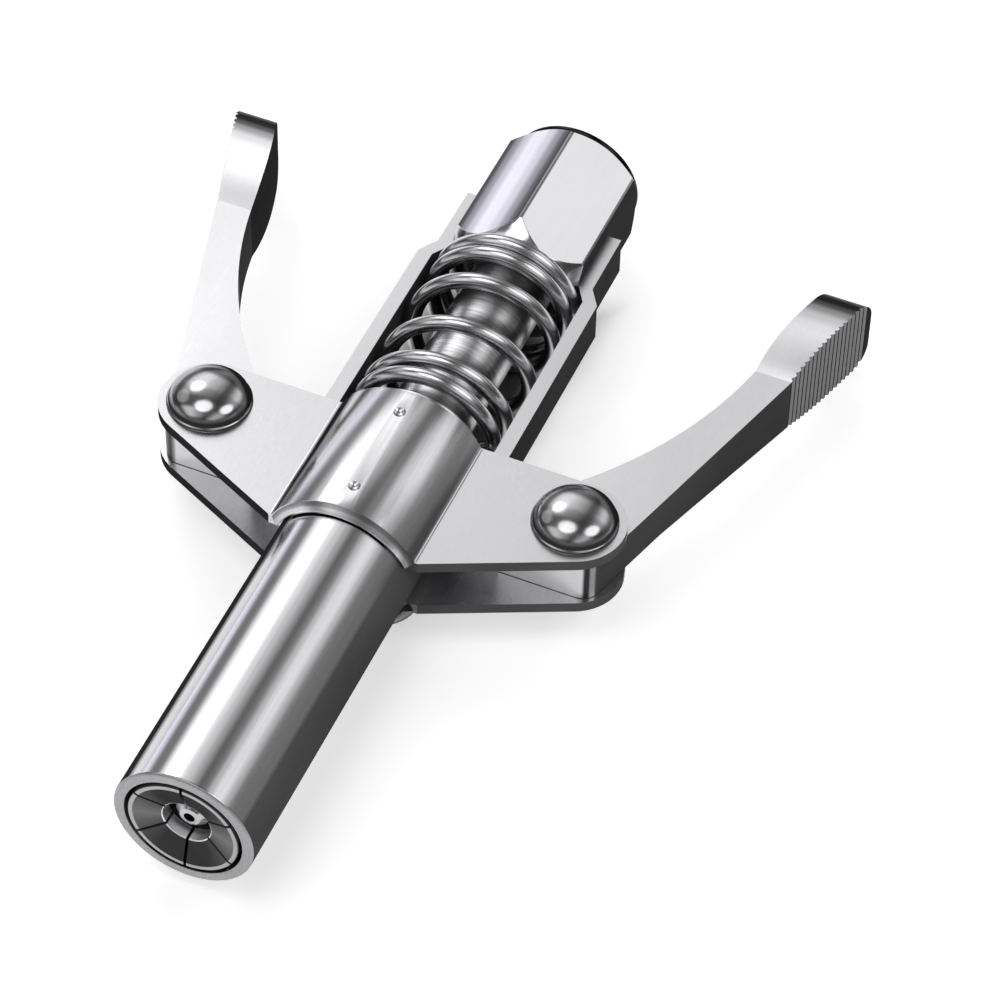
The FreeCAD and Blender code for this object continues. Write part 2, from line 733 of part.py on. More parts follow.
def make_lever(label, side):
    """Flat lever with a round cam at its inner end and a tall grooved pad for the finger."""
    body = new_body(label)
    outline = new_sketch(body, "XY_Plane", "outline")
    points, arcs = lever_points(side)
    draw_outline(outline, points, arcs)
    pad(body, outline, "2 * pad_bottom")
    profile = new_sketch(body, "YZ_Plane", "side")
    cut_lever_side(profile, 1, "neck_top", "pad_top")
    cut_lever_side(profile, -1, "neck_bottom", "pad_bottom")
    pocket_through(body, profile)
    hole = new_sketch(body, "XY_Plane", "hole")
    draw_circle(hole, (f"{side} * pivot_offset", PIVOT), "rivet_radius + pin_clearance")
    pocket_through(body, hole)
    corner = Vector(value(points[0][0]), value(points[0][1]), 0)
    round_edges(body, "lever_corner", lambda edge: edge.BoundBox.ZLength > 1 and all(
        abs(vertex.X - corner.x) + abs(vertex.Y - corner.y) < 1e-6 for vertex in edge.Vertexes))
    # One groove across the pad's outer face, repeated along it
    groove = new_sketch(body, "XY_Plane", "groove")
    step = "serration_width / 2"
    outer = "pivot_offset + lever_outer + lever_slope * (lever_front + serration_reach"
    draw_outline(groove, [
        (f"{side} * ({outer} - {step}))", f"{PIVOT} + serration_reach - {step}"),
        (f"{side} * ({outer}) - serration_depth)", f"{PIVOT} + serration_reach"),
        (f"{side} * ({outer} + {step}))", f"{PIVOT} + serration_reach + {step}"),
        (f"{side} * ({outer}) + serration_depth)", f"{PIVOT} + serration_reach"),
    ])
    cut = pocket_through(body, groove)
    pattern = body.newObject("PartDesign::LinearPattern", f"{body.Name}_serrations")
    pattern.Originals = [cut]
    pattern.Direction = (outline, ["Edge1"])
    steps = "floor((lever_reach - serration_margin - serration_reach) / serration_pitch)"
    pattern.setExpression("Length", bound(f"serration_pitch * {steps}"))
    pattern.setExpression("Occurrences", bound(f"{steps} + 1"))
    body.Tip = pattern


def coil(label, front, rear, mean_radius, wire, turns, centre, half_width, start_angle):
    """Round wire spring about Y with closed ends and an open middle, as one swept solid."""
    closed = wire * CLOSED_PITCH
    travel = rear - front - wire
    extra = (travel - closed * turns) / half_width

    def place(count):
        """How far along Y the wire has gone after some turns."""
        offset = min(max(count - centre, -half_width), half_width)
        swing = math.sin(math.pi * offset / half_width) * half_width / math.pi
        return front + wire / 2 + closed * count + extra * (offset + half_width + swing) / 2

    steps = round(turns * POINTS_PER_TURN)
    line = []
    for step in range(steps + 1):
        count = turns * step / steps
        angle = math.radians(start_angle + 360 * count)
        line.append(Vector(mean_radius * math.sin(angle), place(count), mean_radius * math.cos(angle)))
    curve = Part.BSplineCurve()
    curve.interpolate(line)
    # One edge for each half turn
    halves = round(2 * turns)
    length = curve.LastParameter - curve.FirstParameter
    cuts = [curve.FirstParameter + length * cut / halves for cut in range(halves + 1)]
    path = Part.Wire([curve.toShape(low, high) for low, high in zip(cuts, cuts[1:])])
    section = Part.Wire([Part.makeCircle(wire / 2, line[0], path.Edges[0].tangentAt(cuts[0]))])
    solid = path.makePipeShell([section], True, True)
    expected = math.pi * (wire / 2) ** 2 * path.Length
    if abs(solid.Volume / expected - 1) > 0.02:
        raise RuntimeError(f"{label} has volume {solid.Volume}, not {expected}")
    feature = doc.addObject("Part::Feature", label)
    feature.Label = label
    feature.Shape = solid
    feature.Placement = Placement()


def make_springs():
    coil("main_spring", value(SLEEVE_END), value(SHOULDER), value("spring_mean_radius"),
         value("spring_wire"), SPRING_TURNS, SPRING_OPEN_CENTRE, SPRING_OPEN_HALF_WIDTH, SPRING_START_ANGLE)
    nozzle_wire = value("nozzle_spring_wire")
    coil("nozzle_spring", value(PISTON_REAR), value(STOP_FRONT),
         value("chamber_radius - slide_clearance * 5") - nozzle_wire / 2, nozzle_wire, 7.0, 3.5, 3.0, 0.0)
    coil("check_spring", value(STOP_REAR), value(f"{BALL_PLACE} - ball_radius"),
         value("check_spring_radius"), value("check_spring_wire"), 5.0, 2.5, 2.0, 0.0)


def write_parts():
    """Write each sub-part to its own file, after every object and shape has been checked."""
    doc.recompute()
    failed = [item.Name for item in doc.Objects if "Invalid" in item.State or "Error" in item.State]
    if failed:
        raise RuntimeError(f"failed objects: {failed}")
    kinds = ("PartDesign::Body", "Part::Sphere", "Part::Feature")
    subparts = [item for item in doc.Objects if item.TypeId in kinds]
    for item in subparts:
        if item.Shape.isNull() or not item.Shape.isValid() or len(item.Shape.Solids) != 1:
            raise RuntimeError(f"{item.Label} is not one valid solid")
    os.makedirs("parts", exist_ok=True)
    for item in subparts:
        item.Shape.exportStep(f"parts/{item.Label}.step")
        box = item.Shape.BoundBox
        print(f"{item.Label:14s} {item.Shape.Volume:9.2f} mm3  "
              f"X {box.XMin:.2f} {box.XMax:.2f}  Y {box.YMin:.2f} {box.YMax:.2f}  Z {box.ZMin:.2f} {box.ZMax:.2f}")


make_nose_sleeve()
for jaw_number in range(JAWS):
    make_jaw(jaw_number)
make_jaw_ring()
make_core_tube()
make_nozzle()
make_valve()
make_rear_body()
make_strap("strap_right", 1)
make_strap("strap_left", -1)
make_bracket("bracket_upper", 1)
make_bracket("bracket_lower", -1)
make_rivet("rivet_right", 1)
make_rivet("rivet_left", -1)
make_lever("lever_right", 1)
make_lever("lever_left", -1)
make_springs()
write_parts()
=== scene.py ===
import math

import bmesh
import bpy
from mathutils import Matrix, Vector


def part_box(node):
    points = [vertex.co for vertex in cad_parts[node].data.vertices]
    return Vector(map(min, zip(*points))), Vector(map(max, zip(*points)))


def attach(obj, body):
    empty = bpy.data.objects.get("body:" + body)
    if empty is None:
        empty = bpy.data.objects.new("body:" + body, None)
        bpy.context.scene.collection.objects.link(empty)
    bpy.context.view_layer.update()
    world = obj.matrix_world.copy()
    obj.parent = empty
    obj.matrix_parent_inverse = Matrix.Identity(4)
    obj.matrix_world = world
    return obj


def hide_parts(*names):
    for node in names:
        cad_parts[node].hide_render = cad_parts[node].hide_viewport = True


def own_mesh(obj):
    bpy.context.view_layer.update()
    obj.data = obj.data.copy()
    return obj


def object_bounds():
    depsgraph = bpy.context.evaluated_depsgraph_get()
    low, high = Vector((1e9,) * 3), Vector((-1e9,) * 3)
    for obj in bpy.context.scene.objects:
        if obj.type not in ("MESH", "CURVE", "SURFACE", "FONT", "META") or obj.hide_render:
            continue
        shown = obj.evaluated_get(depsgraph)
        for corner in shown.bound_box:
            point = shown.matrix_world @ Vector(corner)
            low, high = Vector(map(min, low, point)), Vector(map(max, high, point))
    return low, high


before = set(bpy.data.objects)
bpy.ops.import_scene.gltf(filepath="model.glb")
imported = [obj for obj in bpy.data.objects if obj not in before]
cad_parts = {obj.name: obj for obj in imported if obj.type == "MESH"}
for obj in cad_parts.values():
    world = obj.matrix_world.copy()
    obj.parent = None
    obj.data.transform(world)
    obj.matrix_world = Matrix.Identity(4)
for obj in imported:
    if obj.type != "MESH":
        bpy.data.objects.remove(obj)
cad_low, cad_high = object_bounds()

MM = 0.001

# Camera, worked out from the photograph
AZIMUTH = 22.07
ELEVATION = 48.03
ROLL = 1.57
DISTANCE = 504.99 * MM
AIM = Vector((11.82, -53.64, -0.40)) * MM
LENS = 154.73

# Sizes of the coupler in millimetres. They are the frame's to within a quarter of a millimetre: the
# jaws' mouth, the nozzle's tip and the rear rim follow the photograph a little closer.
SLEEVE_RADIUS = 8.6
NOSE_BORE = 7.25
THROAT_RADIUS = 6.3
GUIDE_BORE = 5.25
GUIDE_LENGTH = 13.9
JAW_RADIUS = 6.8
JAW_SLOT = 0.36
MOUTH_RADIUS = 6.22
LIP_RADIUS = 2.95
LIP_END = 2.7
NOZZLE_DEPTH = 1.75
NOZZLE_RADIUS = 2.1
NOZZLE_HEAD = 3.1
SPIGOT_RADIUS = 1.2
ORIFICE_RADIUS = 0.67
REAR_FACE_RADIUS = 8.3
REAR_RIM = 8.47
RIM_DEPTH = 0.9
RIM_PROUD = 0.15
SHOULDER_CONE = 2.5
THREAD_RADIUS = 4.35
THREAD_DEPTH = 11.5
THREAD_PITCH = 0.94
SPRING_LENGTH = 28.7
SPRING_MEAN = 8.6
SPRING_WIRE = 2.0
SPRING_TURNS = 6.0
SPRING_OPEN_CENTRE = 3.03
SPRING_OPEN_HALF_WIDTH = 2.3
SPRING_START = 90.0
SPRING_CLOSED_PITCH = 1.05
SADDLE_RADIUS = SLEEVE_RADIUS + 1.5
WING_ROOT = 9.5
PLATE_OUTER = 4.45
PLATE_INNER = 2.95
CREASE_RADIUS = 0.5
RIVET_COLLAR = 5.2
RIVET_COLLAR_HEIGHT = 0.5
RIVET_DOME = 4.95
RIVET_DOME_HEIGHT = 2.65
RIVET_RADIUS = 2.5
LEVER_NECK = 32.7
LEVER_REACH = 48.7


def end_of(node, corner, axis):
    """One coordinate of a node's box, in millimetres."""
    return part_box(node)[corner][axis] / MM


def middle_of(node, axis):
    return (end_of(node, 0, axis) + end_of(node, 1, axis)) / 2


NOSE = end_of("nose_sleeve", 0, 1)
SLEEVE_END = end_of("nose_sleeve", 1, 1)
SHOULDER = SLEEVE_END + SPRING_LENGTH
PIVOT = Vector((middle_of("rivet_right", 0), middle_of("rivet_right", 1)))
PAD_START = PIVOT.y + LEVER_NECK + 0.01


# Materials

# The colour sockets of a Mix node, which share their names with its other sockets
MIX_FIRST, MIX_SECOND, MIX_RESULT = 6, 7, 2
# Where most of a noise's values lie
NOISE_LOW, NOISE_HIGH = 0.3, 0.7
STEEL_TINT = (1.0, 1.0, 1.02)


def grey(value, tint=(1.0, 1.0, 1.0)):
    return tuple(value * share for share in tint)


def new_material(name):
    material = bpy.data.materials.new(name)
    material.use_nodes = True
    return material, material.node_tree, material.node_tree.nodes["Principled BSDF"]


def feed(tree, value, socket):
    """Set a socket to a number, vector or colour, or link it to the socket that the value is."""
    if isinstance(value, bpy.types.NodeSocket):
        tree.links.new(value, socket)
    else:
        socket.default_value = value


def compute(tree, operation, *values, clamp=False):
    node = tree.nodes.new("ShaderNodeMath")
    node.operation = operation
    node.use_clamp = clamp
    for value, socket in zip(values, node.inputs):
        feed(tree, value, socket)
    return node.outputs["Value"]


def compute_vector(tree, operation, *values):
    node = tree.nodes.new("ShaderNodeVectorMath")
    node.operation = operation
    for value, socket in zip(values, node.inputs):
        feed(tree, value, socket)
    return node.outputs


def rescale(tree, value, low, high, to_low=0.0, to_high=1.0, kind="LINEAR"):
    """A value brought from one range to another, and kept within it."""
    node = tree.nodes.new("ShaderNodeMapRange")
    node.interpolation_type = kind
    node.inputs["From Min"].default_value = low
    node.inputs["From Max"].default_value = high
    node.inputs["To Min"].default_value = to_low
    node.inputs["To Max"].default_value = to_high
    feed(tree, value, node.inputs["Value"])
    return node.outputs["Result"]


def colour_ramp(tree, value, stops, kind="EASE"):
    """A ramp through (place, colour) stops. A colour that is one number is a grey."""
    ramp = tree.nodes.new("ShaderNodeValToRGB")
    ramp.color_ramp.interpolation = kind
    elements = ramp.color_ramp.elements
    while len(elements) < len(stops):
        elements.new(1.0)
    for element, (place, colour) in zip(elements, stops):
        element.position = place
        element.color = (*(colour if isinstance(colour, tuple) else grey(colour)), 1)
    feed(tree, value, ramp.inputs["Fac"])
    return ramp.outputs["Color"]


def mix_colours(tree, kind, share, first, second):
    mix = tree.nodes.new("ShaderNodeMix")
    mix.data_type = "RGBA"
    mix.blend_type = kind
    feed(tree, share, mix.inputs["Factor"])
    feed(tree, first, mix.inputs[MIX_FIRST])
    feed(tree, second, mix.inputs[MIX_SECOND])
    return mix.outputs[MIX_RESULT]


def add_noise(tree, scale, detail, stretch):
    """Noise in the object's own space, in cycles per metre along each axis."""
    place = tree.nodes.new("ShaderNodeTexCoord")
    mapping = tree.nodes.new("ShaderNodeMapping")
    mapping.inputs["Scale"].default_value = stretch
    noise = tree.nodes.new("ShaderNodeTexNoise")
    noise.inputs["Scale"].default_value = scale
    noise.inputs["Detail"].default_value = detail
    tree.links.new(place.outputs["Object"], mapping.inputs["Vector"])
    tree.links.new(mapping.outputs["Vector"], noise.inputs["Vector"])
    return noise.outputs["Fac"]


def measure(tree, kind, axis):
    """The place or the normal along an axis or a direction, the distance from the main axis, or
    that distance times how much the surface faces away from the axis."""
    place = tree.nodes.new("ShaderNodeTexCoord").outputs
    if isinstance(axis, tuple):
        return compute_vector(tree, "DOT_PRODUCT", place[kind], axis)["Value"]
    if kind in ("Object", "Normal"):
        split = tree.nodes.new("ShaderNodeSeparateXYZ")
        tree.links.new(place[kind], split.inputs["Vector"])
        return split.outputs[axis]
    flat = compute_vector(tree, "MULTIPLY", place["Object"], (1, 0, 1))["Vector"]
    if kind == "Radius":
        return compute_vector(tree, "LENGTH", flat)["Value"]
    return compute_vector(tree, "DOT_PRODUCT", flat, place["Normal"])["Value"]


def add_painted_side(tree, base, bare, cloudy, side):
    """Paint shade on the faces that look one way, and dull them there; a colour over one paints a
    highlight there instead. Gives the new colour and how much of the surface is still bare metal."""
    colour, way, low, high = side
    facing = measure(tree, "Normal", way)
    if way in ("X", "Y", "Z"):
        facing = compute(tree, "ABSOLUTE", facing)
    painted_side_mask = rescale(tree, facing, low, high)
    dark = colour_ramp(tree, cloudy, [
        (0.35, grey(colour * 0.85, STEEL_TINT)),
        (0.65, grey(colour * 1.15, STEEL_TINT)),
    ], "LINEAR")
    return (mix_colours(tree, "MIX", painted_side_mask, base, dark),
            compute(tree, "SUBTRACT", bare, painted_side_mask, clamp=True))


def metal(name, colour, roughness, stretch, grain, bump, *sides, spread=0.045):
    """Bare or plated steel: fine grain in its colour and gloss. Each of its sides is painted shade,
    or a painted highlight where its colour is over one, on the faces that look one way: a colour,
    the direction that the side faces (both ways along an axis if that is its letter), and how
    squarely it faces there where the colour starts and where it is full."""
    material, tree, shader = new_material(name)
    fine = add_noise(tree, grain, 4, stretch)
    cloudy = add_noise(tree, 90, 3, (1, 0.4, 1))
    base = colour_ramp(tree, fine, [
        (NOISE_LOW, grey(colour * (1 - spread), STEEL_TINT)),
        (NOISE_HIGH, grey(colour * (1 + spread), STEEL_TINT)),
    ], "LINEAR")
    bare = 1.0
    for side in sides:
        base, bare = add_painted_side(tree, base, bare, cloudy, side)
    feed(tree, base, shader.inputs["Base Color"])
    feed(tree, bare, shader.inputs["Metallic"])
    shader.inputs["Specular IOR Level"].default_value = 0.0
    gloss = rescale(tree, cloudy, NOISE_LOW, NOISE_HIGH, roughness * 0.85, roughness * 1.2)
    feed(tree, gloss, shader.inputs["Roughness"])
    relief = tree.nodes.new("ShaderNodeBump")
    relief.inputs["Strength"].default_value = bump
    relief.inputs["Distance"].default_value = 0.01 * MM
    tree.links.new(fine, relief.inputs["Height"])
    tree.links.new(relief.outputs["Normal"], shader.inputs["Normal"])
    return material


def paint_light_and_shade_along(material, axis, low, high, stops, source="Object"):
    """Paint light or shade into a material's colour by one measure of its place or of the way its
    surface faces.
    """
    tree = material.node_tree
    socket = tree.nodes["Principled BSDF"].inputs["Base Color"]
    before = socket.links[0].from_socket
    share = rescale(tree, measure(tree, source, axis), low, high)
    feed(tree, mix_colours(tree, "MULTIPLY", 1.0, before, colour_ramp(tree, share, stops)), socket)


# Ways that a surface may face, for the shade painted on the faces that look there
RIGHT = (1, 0, 0)
FRONT = (0.38, -0.92, 0)
BACK_RIGHT = (0.45, 0.89, 0)
FRONT_LEFT = (-0.8, -0.6, 0)
LOW_RIGHT = (0.968, 0, -0.25)
HIGH_LEFT = (-0.94, 0, 0.342)
# How the grain is drawn out along each axis, and its cycles per metre
EVEN = (1, 1, 1)
ROLLED = (1, 0.3, 1)
DRAWN = (1, 0.05, 1)
TURNED = (0.12, 1.4, 0.12)
GRAIN, FINE_GRAIN = 2500, 3000

# Painted shade: the tube is darkened on its lower right side and along a thin upper left band
TUBE = metal("polished_tube", 0.58, 0.15, (1, 0.03, 1), GRAIN, 0.05,
             (0.1, LOW_RIGHT, 0.44, 0.72), (0.03, HIGH_LEFT, 0.89, 0.94))
FACE = metal("turned_face", 0.4, 0.5, EVEN, FINE_GRAIN, 0.8, spread=0.12)
# Painted shade: the rivet's steep collar wall and dome edge, and the back right of its dome, are
# darkened
RIVET = metal("polished_rivet", 0.4, 0.16, EVEN, GRAIN, 0.1,
              (0.05, "Z", 0.65, 0.35), (0.02, BACK_RIGHT, 0.32, 0.52))
# Painted shade: the saddle is darkened on its lower right side and along a thin upper left band
SADDLE = metal("polished_saddle", 0.6, 0.2, DRAWN, GRAIN, 0.05,
               (0.1, LOW_RIGHT, 0.44, 0.7), (0.03, HIGH_LEFT, 0.913, 0.956))
# Painted shade: the lower saddle and its lip are a dark copy of the saddle steel
SADDLE_PAINTED_SHADE_LOWER = metal("lower_saddle_painted_shade", 0.12, 0.25, DRAWN, GRAIN, 0.1)
CREASE = metal("polished_crease", 0.6, 0.2, DRAWN, GRAIN, 0.1)
# Painted highlight: the upper lip is a bright copy of the saddle steel
LEDGE_PAINTED_HIGHLIGHT = metal("ledge_painted_highlight", 0.9, 0.22, EVEN, GRAIN, 0.1)
# Painted shade on the plates' faces that look to the front and to the front left
PLATE = metal("satin_plate", 0.54, 0.27, ROLLED, FINE_GRAIN, 0.02,
              (0.12, FRONT, 0.1, 0.3), (0.03, FRONT_LEFT, 0.75, 0.9), spread=0.02)
# Painted light: the plates' faces towards each other are a brighter copy of the plate steel
INNER_PAINTED_LIGHT = metal("plate_inside_painted_light", 0.85, 0.25, ROLLED, FINE_GRAIN, 0.1)
# Painted shade on the straps' right-facing faces
STRAP = metal("satin_strap", 0.52, 0.3, ROLLED, FINE_GRAIN, 0.05,
              (0.06, RIGHT, 0.45, 0.75), spread=0.02)
# Painted light and shade: the levers' side faces get a bright colour, which the corner ramp below
# turns into painted shade and one narrow painted highlight
LEVER = metal("satin_lever", 0.6, 0.3, ROLLED, FINE_GRAIN, 0.05,
              (1.6, RIGHT, 0.86, 0.93), spread=0.02)
LEVER_FRONT = metal("lever_front", 0.6, 0.3, ROLLED, FINE_GRAIN, 0.05,
                    (1.6, "X", 0.86, 0.93), spread=0.02)
# Painted light and shade: the pads are a brighter copy of the lever steel, with painted shade on
# their right-facing faces
PAD = metal("lever_pad", 0.84, 0.36, ROLLED, FINE_GRAIN, 0.05,
            (0.08, RIGHT, 0.45, 0.75), spread=0.02)
# Painted shade on the serrations' right-facing flanks
SERRATED = metal("lever_serrations", 0.7, 0.3, EVEN, FINE_GRAIN, 0.1, (0.04, RIGHT, 0.43, 0.66))
# Painted shade on the rear body's right-facing flats
REAR = metal("rear_steel", 0.62, 0.16, DRAWN, GRAIN, 0.02, (0.055, RIGHT, 0.76, 0.9), spread=0.01)
REAR_CONE = metal("rear_cone", 0.62, 0.16, DRAWN, GRAIN, 0.05, spread=0.02)
RIM_DARK = metal("rear_rim", 0.02, 0.2, EVEN, GRAIN, 0.1)
SPRING = metal("spring_steel", 0.58, 0.2, EVEN, GRAIN, 0.1)
CORE = metal("core_steel", 0.62, 0.28, TURNED, GRAIN, 1.0, spread=0.3)
# Painted shade: the jaw faces that look up or down are darkened
JAW = metal("jaw_steel", 0.15, 0.3, EVEN, GRAIN, 0.3, (0.07, "Z", 0.0, 0.25))
JAW_RIM = metal("jaw_rim", 0.4, 0.35, EVEN, GRAIN, 0.3)
# Painted light: the jaws' lip bore is a bright copy of the jaw steel
JAW_LIP_PAINTED_LIGHT = metal("jaw_lip_painted_light", 0.85, 0.4, EVEN, GRAIN, 0.1)
NOZZLE = metal("nozzle_steel", 0.75, 0.14, EVEN, GRAIN, 0.1)
TIP = metal("nozzle_face", 0.5, 0.2, EVEN, GRAIN, 0.1)
# Painted shade: near black for the nozzle's hole and for the gap under the saddle lips
BORE_PAINTED_SHADE = metal("bore_painted_shade", 0.02, 0.4, EVEN, GRAIN, 0.1)
RUBBER = metal("rubber", 0.03, 0.6, EVEN, GRAIN, 0.4)
RUBBER.node_tree.nodes["Principled BSDF"].inputs["Metallic"].default_value = 0.0


# Shapes

def radius_of(place):
    """Distance of a place from the coupler's main axis."""
    return math.hypot(place.x, place.z)


def give_material(piece, material):
    piece.data.materials.clear()
    piece.data.materials.append(material)


def paint(piece, material, chosen):
    """Give one more material to the faces that a test of place and normal picks, in millimetres."""
    mesh = piece.data
    mesh.materials.append(material)
    for face in mesh.polygons:
        if chosen(face.center / MM, face.normal):
            face.material_index = len(mesh.materials) - 1


def finish_piece(piece, material, body):
    give_material(piece, material)
    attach(piece, body)


def new_piece(name, points, faces, sharp=None):
    """A smooth shaded piece from points in millimetres. Edges over the sharp angle stay sharp."""
    mesh = bpy.data.meshes.new(name)
    mesh.from_pydata([Vector(point) * MM for point in points], [], faces)
    mesh.validate()
    build = bmesh.new()
    build.from_mesh(mesh)
    bmesh.ops.recalc_face_normals(build, faces=build.faces)
    build.to_mesh(mesh)
    build.free()
    mesh.shade_smooth()
    if sharp is not None:
        mesh.set_sharp_from_angle(angle=math.radians(sharp))
    piece = bpy.data.objects.new(name, mesh)
    bpy.context.scene.collection.objects.link(piece)
    return piece


def tube_faces(first, rings, sides):
    """Faces of a tube with flat ends, whose points are numbered ring after ring from the first."""
    last = first + (rings - 1) * sides
    faces = [tuple(range(first, first + sides))[::-1], tuple(range(last, last + sides))]
    for ring in range(first, last, sides):
        for side in range(sides):
            after = (side + 1) % sides
            faces.append((ring + side, ring + after, ring + sides + after, ring + sides + side))
    return faces


def rounded(corners, steps=5):
    """Replace each (radius, place, rounding) corner of a closed profile by a small arc."""
    line = []
    for number, (radius, place, rounding) in enumerate(corners):
        here = Vector((radius, place))
        if not rounding:
            line.append(here)
            continue
        before = Vector(corners[number - 1][:2]) - here
        after = Vector(corners[(number + 1) % len(corners)][:2]) - here
        half = before.angle(after) / 2
        reach = min(rounding / math.tan(half), before.length * 0.49, after.length * 0.49)
        start = here + before.normalized() * reach
        end = here + after.normalized() * reach
        for step in range(steps + 1):
            share = step / steps
            line.append(start * (1 - share) ** 2 + here * 2 * share * (1 - share)
                        + end * share ** 2)
    return line


def lathe(name, line, segments, centre=(0.0, 0.0), axis="Y", closed=True):
    """Turn a profile of (radius, place) points about an axis. A radius of 0 is a pole."""
    points = []
    rows = []
    for radius, place in line:
        row = []
        for step in range(segments if radius > 1e-6 else 1):
            angle = 2 * math.pi * step / segments
            across = centre[0] + radius * math.cos(angle)
            up = centre[1] + radius * math.sin(angle)
            row.append(len(points))
            points.append((across, place, up) if axis == "Y" else (across, up, place))
        rows.append(row)
    faces = []
    for first, second in zip(rows, rows[1:] + rows[:1] if closed else rows[1:]):
        for step in range(segments):
            after = (step + 1) % segments
            face = [first[step % len(first)], second[step % len(second)],
                    second[after % len(second)], first[after % len(first)]]
            face = list(dict.fromkeys(face))
            if len(face) > 2:
                faces.append(face if axis == "Z" else face[::-1])
    piece = new_piece(name, points, faces)
    weighted = piece.modifiers.new("even_shading", "WEIGHTED_NORMAL")
    weighted.keep_sharp = True
    weighted.weight = 80
    return piece


def sweep(name, line, wire, sides=28):
    """Round wire along a line of points, with flat ends."""
    points = []
    for number, here in enumerate(line):
        before = line[max(number - 1, 0)]
        after = line[min(number + 1, len(line) - 1)]
        along = (after - before).normalized()
        outward = Vector((here.x, 0, here.z)).normalized()
        outward = (outward - along * outward.dot(along)).normalized()
        sideways = along.cross(outward)
        for side in range(sides):
            angle = 2 * math.pi * side / sides
            away = outward * math.cos(angle) + sideways * math.sin(angle)
            points.append(here + away * (wire / 2))
    return new_piece(name, points, tube_faces(0, len(line), sides))


def soften(node, material, width):
    """Join a node's faces up and round its edges a little."""
    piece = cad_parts[node]
    give_material(piece, material)
    weld = piece.modifiers.new("join_faces", "WELD")
    weld.merge_threshold = 0.0005 * MM
    flat = piece.modifiers.new("flatten_faces", "DECIMATE")
    flat.decimate_type = "DISSOLVE"
    flat.angle_limit = math.radians(0.5)
    flat.delimit = {"MATERIAL"}
    edge = piece.modifiers.new("round_edges", "BEVEL")
    edge.width = width * MM
    edge.segments = 3
    edge.limit_method = "ANGLE"
    edge.angle_limit = math.radians(25)
    edge.harden_normals = True


def make_nose():
    line = rounded([
        (NOSE_BORE, NOSE, 0.12),
        (SLEEVE_RADIUS, NOSE, 0.4),
        (SLEEVE_RADIUS, SLEEVE_END, 0.25),
        (GUIDE_BORE, SLEEVE_END, 0.1),
        (GUIDE_BORE, SLEEVE_END - GUIDE_LENGTH, 0),
        (THROAT_RADIUS, SLEEVE_END - 15, 0),
        (THROAT_RADIUS, NOSE + 9, 0),
        (NOSE_BORE, NOSE + 7, 0),
    ])
    piece = lathe("nose_tube", line, 256)
    finish_piece(piece, TUBE, "sleeve")
    paint(piece, FACE, lambda place, normal: place.y < NOSE + 0.35 and normal.y < -0.3)
    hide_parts("nose_sleeve")


def make_jaw(number):
    """One sixth of the gripping ring, parted from the next by half a saw slot on each side."""
    profile = rounded([
        (LIP_RADIUS, 1.0, 0.2),
        (MOUTH_RADIUS, 0, 0.06),
        (JAW_RADIUS, 0, 0.16),
        (JAW_RADIUS, 2.0, 0),
        (6.25, 3.1, 0),
        (5.6, 9.5, 0),
        (5.6, 16.7, 0),
        (4.9, 16.7, 0),
        (4.9, 17.9, 0),
        (5.6, 17.9, 0),
        (5.6, 18.2, 0),
        (3.45, 18.2, 0),
        (3.45, 16.4, 0),
        (4.1, 16.4, 0),
        (4.1, 9.1, 0),
        (3.5, 9.1, 0),
        (3.5, 3.0, 0),
        (LIP_RADIUS, LIP_END, 0.1),
    ])
    middle = math.pi / 3 * (number - 1)
    points = []
    steps = 32
    for step in range(steps + 1):
        for radius, depth in profile:
            half = math.pi / 6 - math.asin(JAW_SLOT / 2 / radius)
            angle = middle + half * (2 * step / steps - 1)
            points.append((radius * math.cos(angle), NOSE + depth, radius * math.sin(angle)))
    piece = new_piece(f"jaw_{number}_finger", points, tube_faces(0, steps + 1, len(profile)), 35)
    finish_piece(piece, JAW, f"jaw_{number}_body")
    paint(piece, JAW_RIM, lambda place, normal: abs(normal.y) > 0.98 and place.y < NOSE + 0.1)
    paint(piece, JAW_LIP_PAINTED_LIGHT, lambda place, normal: radius_of(place) < LIP_RADIUS + 0.15
          and place.y < NOSE + LIP_END + 0.2)
    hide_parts(f"jaw_{number}")


def make_nozzle_tip():
    """Polished rounded tip with a small hole."""
    front = NOSE + NOZZLE_DEPTH
    line = rounded([
        (ORIFICE_RADIUS, front - 0.1, 0.06),
        (1.25, front, 0.3),
        (NOZZLE_RADIUS, front + 0.75, 0.4),
        (NOZZLE_RADIUS, front + 1.55, 0.1),
        (NOZZLE_HEAD, front + 2.15, 0.1),
        (NOZZLE_HEAD, front + 4.25, 0.1),
        (SPIGOT_RADIUS, front + 4.25, 0),
        (SPIGOT_RADIUS, front + 2.55, 0),
        (ORIFICE_RADIUS, front + 2.55, 0),
    ], 8)
    piece = lathe("nozzle_tip_turned", line, 96)
    finish_piece(piece, TIP, "nozzle")
    # The orifice's wall is painted shade
    paint(piece, BORE_PAINTED_SHADE, lambda place, normal: radius_of(place) < ORIFICE_RADIUS + 0.01)
    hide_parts("nozzle_tip")


def make_thread():
    """The hose thread's crests, a fine ridge wound inside the rear mouth."""
    section = ((0.02, -0.42), (-0.26, -0.05), (-0.26, 0.05), (0.02, 0.42))
    steps = 64
    rings = int((THREAD_DEPTH - 1.2) / THREAD_PITCH * steps) + 1
    points = []
    for step in range(rings):
        turn = step / steps
        angle = 2 * math.pi * turn
        for inward, along in section:
            radius = THREAD_RADIUS + inward
            place = -0.5 - THREAD_PITCH * turn + along
            points.append((radius * math.sin(angle), place, radius * math.cos(angle)))
    piece = new_piece("hose_thread", points, tube_faces(0, rings, len(section)), 30)
    finish_piece(piece, REAR, "core")


